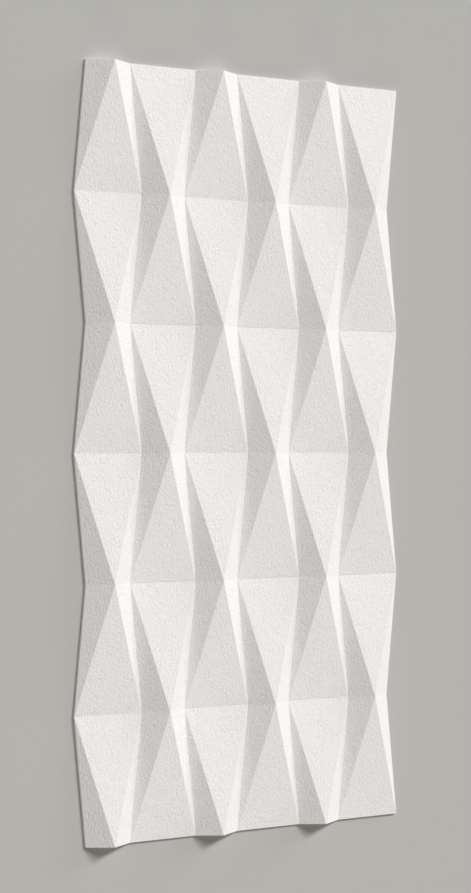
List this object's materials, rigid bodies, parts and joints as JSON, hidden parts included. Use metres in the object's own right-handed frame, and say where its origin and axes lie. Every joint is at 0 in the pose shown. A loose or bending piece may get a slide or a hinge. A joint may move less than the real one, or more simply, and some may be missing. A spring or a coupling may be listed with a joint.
{
  "type": "wall panel",
  "caption": "Moulded wall panel with a flat back and a faceted face of interlocking hourglass pyramids, whose zigzag side edges carry the relief on to the next panel.",
  "frame": {"origin": "middle of the flat back, which lies on the floor, and on the wall in use", "axes": "+X across the width, +Y along the length, which is up on the wall, +Z out of the wall from the back to the peaks"},
  "size_m": [0.6, 1.2, 0.0265],
  "materials": {
    "panel_white": "white matt coat with a fine pebbled grain, on moulded rigid foam"
  },
  "bodies": {
    "root": {"wall_panel": "panel_white"}
  },
  "joints": []
}
